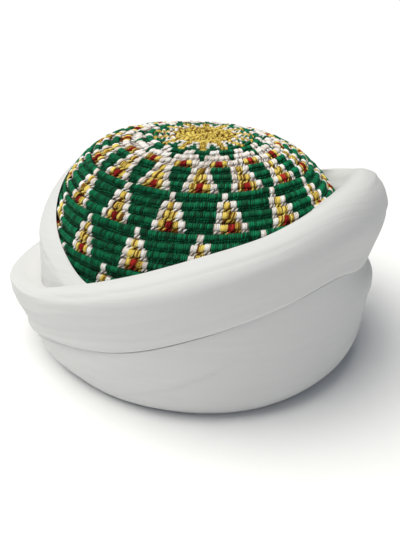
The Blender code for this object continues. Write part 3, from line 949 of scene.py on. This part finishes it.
class TurbanSettings(bpy.types.PropertyGroup):
    """Sizes and colours that a user would change."""

    crochet_rows: IntProperty(
        name="Crochet rows", description="Rows of stitches worked down from the crown",
        default=24, min=12, max=31)
    stitch_plumpness: FloatProperty(
        name="Stitch plumpness", description="Thickness of the stitches' strands, against the table",
        default=1.0, min=0.5, max=1.5)
    crease_depth: FloatProperty(
        name="Crease depth", description="How deep the cloth's creases are, against the table",
        default=1.0, min=0.0, max=3.0)
    green_deep: colour_setting("Deep green", "The green yarn in the shade", "#01200F")
    green: colour_setting("Green", "The green yarn", "#046B43")
    green_lit: colour_setting("Lit green", "The green yarn in the light", "#0A9A66")
    gold_deep: colour_setting("Deep gold", "The gold yarn in the shade", "#7C4E0E")
    gold: colour_setting("Gold", "The gold yarn", "#EACE58")
    gold_lit: colour_setting("Lit gold", "The gold yarn in the light", "#FCE57C")
    red_deep: colour_setting("Deep red", "The red yarn in the shade", "#560A0C")
    red: colour_setting("Red", "The red yarn", "#9C1A16")
    red_lit: colour_setting("Lit red", "The red yarn in the light", "#D03A2E")
    white_deep: colour_setting("Deep white", "The white yarn in the shade", "#DCCCC0")
    white: colour_setting("White", "The white yarn", "#FBF5EE")
    white_lit: colour_setting("Lit white", "The white yarn in the light", "#FFFFFF")
    cloth: colour_setting("Cloth", "The wound cotton", "#DEDEDC")
    cloth_shade: colour_setting("Cloth shade", "The wound cotton in its long streaks", "#D5D5D5")
    floor: colour_setting("Floor", "The floor", "#FAFAFA")


class TURBAN_OT_ground(bpy.types.Operator):
    """Makes the cap's crochet ground"""

    bl_idname = "turban.ground"
    bl_label = "Cap ground"

    def execute(self, context):
        settings = context.scene.turban
        dress("crochet_ground", cap_ground(settings), ground_material(), "crochet_yarn", "crochet_cap")
        return {"FINISHED"}


class TURBAN_OT_stitches(bpy.types.Operator):
    """Makes the cap's stitches, a piece for each yarn"""

    bl_idname = "turban.stitches"
    bl_label = "Stitches"

    def execute(self, context):
        settings = context.scene.turban
        rng = np.random.default_rng(SEED)
        stitches = chart_stitches(settings.crochet_rows)
        shown = [stitch for stitch in stitches if shows(stitch)]
        for line in STITCH_PIECES:
            yarn = line["yarn"]
            chosen = [
                stitch for stitch in shown
                if YARN_OF[stitch[3]] == yarn and line["first_row"] <= stitch[0] <= line["last_row"]
            ]
            if not chosen:
                raise RuntimeError(f"no {yarn} stitches show")
            material = yarn_material(
                yarn + " mercerised cotton", [getattr(settings, yarn + part) for part in ("_deep", "", "_lit")],
                line["tones"], line["mottle"])
            template, strand_of = stitch_template(line["strands"], settings.stitch_plumpness)
            stitches_piece(line, template, strand_of, chosen, material, rng)
        return {"FINISHED"}


class TURBAN_OT_turns(bpy.types.Operator):
    """Makes the three wound turns of cloth"""

    bl_idname = "turban.turns"
    bl_label = "Wound turns"

    def execute(self, context):
        settings = context.scene.turban
        material = cloth_material("white cotton voile", settings.cloth, settings.cloth_shade)
        for line in TURNS:
            mesh_data = wound_turn(line, settings)
            piece = dress(mesh_data.name, mesh_data, material, "white_cotton", line["node"])
        return {"FINISHED"}


class TURBAN_OT_stage(bpy.types.Operator):
    """Makes the floor, the lights and the camera"""

    bl_idname = "turban.stage"
    bl_label = "Stage"

    def execute(self, context):
        scene = context.scene
        plane = bmesh.new()
        bmesh.ops.create_circle(plane, cap_ends=True, segments=96, radius=FLOOR_RADIUS)
        floor_mesh = bpy.data.meshes.new("floor")
        plane.to_mesh(floor_mesh)
        plane.free()
        material, _, shader = new_material("pale matt paint")
        shader.inputs["Base Color"].default_value = (*scene.turban.floor, 1.0)
        shader.inputs["Roughness"].default_value = 0.95
        shader.inputs["Specular IOR Level"].default_value = 0.1
        floor_mesh.materials.append(material)
        floor = bpy.data.objects.new("floor", floor_mesh)
        scene.collection.objects.link(floor)

        world = bpy.data.worlds.new("soft studio")
        world.use_nodes = True
        tree = world.node_tree
        # The backdrop is white paper to the eye, while the sky light that reaches the cloth is faint and cool.
        seen = add_node(tree, "ShaderNodeLightPath").outputs["Is Camera Ray"]
        hue = add_node(tree, "ShaderNodeMix", {"data_type": "RGBA"}, {"Factor": seen})
        hue.inputs["A"].default_value = (*linear(WORLD_COLOUR), 1.0)
        hue.inputs["B"].default_value = (1.0, 1.0, 1.0, 1.0)
        strength = add_node(tree, "ShaderNodeMapRange", None, {"Value": seen})
        strength.inputs["To Min"].default_value = WORLD_STRENGTH
        strength.inputs["To Max"].default_value = BACKDROP_STRENGTH
        tree.links.new(hue.outputs["Result"], tree.nodes["Background"].inputs["Color"])
        tree.links.new(strength.outputs["Result"], tree.nodes["Background"].inputs["Strength"])
        scene.world = world
        scene.view_settings.view_transform = "Standard"

        for name, colour, strength, softness, source in LIGHTS:
            data = bpy.data.lights.new(name, "SUN")
            data.energy = strength
            data.angle = softness
            data.color = linear(colour)
            light = bpy.data.objects.new(name, data)
            light.rotation_euler = (-Vector(source)).to_track_quat("-Z", "Y").to_euler()
            scene.collection.objects.link(light)

        camera_data = bpy.data.cameras.new("photo view")
        camera_data.sensor_fit = "VERTICAL"
        camera_data.sensor_height = 36.0
        camera_data.lens = LENS
        camera = bpy.data.objects.new("photo view", camera_data)
        back = Vector((0.0, -cos(ELEVATION), sin(ELEVATION)))
        place = (Vector(TARGET) + back * CAMERA_DISTANCE) * MM
        turned = (-back).to_track_quat("-Z", "Y").to_matrix() @ Matrix.Rotation(CAMERA_ROLL, 3, "Z")
        camera.matrix_world = Matrix.Translation(place) @ turned.to_4x4()
        scene.collection.objects.link(camera)
        scene.camera = camera
        return {"FINISHED"}


STEPS = ("turban.ground", "turban.stitches", "turban.turns", "turban.stage")


class TURBAN_PT_pieces(bpy.types.Panel):
    """Lists the turban's pieces and settings"""

    bl_label = "Turban"
    bl_space_type = "VIEW_3D"
    bl_region_type = "UI"
    bl_category = "Turban"

    def draw(self, context):
        for name in TurbanSettings.__annotations__:
            self.layout.prop(context.scene.turban, name)
        for step in STEPS:
            self.layout.operator(step)


CLASSES = (
    TurbanSettings,
    TURBAN_OT_ground,
    TURBAN_OT_stitches,
    TURBAN_OT_turns,
    TURBAN_OT_stage,
    TURBAN_PT_pieces,
)


def register():
    for cls in CLASSES:
        bpy.utils.register_class(cls)
    bpy.types.Scene.turban = PointerProperty(type=TurbanSettings)


def unregister():
    del bpy.types.Scene.turban
    for cls in reversed(CLASSES):
        bpy.utils.unregister_class(cls)


def main():
    register()
    bpy.ops.turban.stage()
    bpy.ops.turban.ground()
    bpy.ops.turban.stitches()
    bpy.ops.turban.turns()


if __name__ == "__main__":
    main()
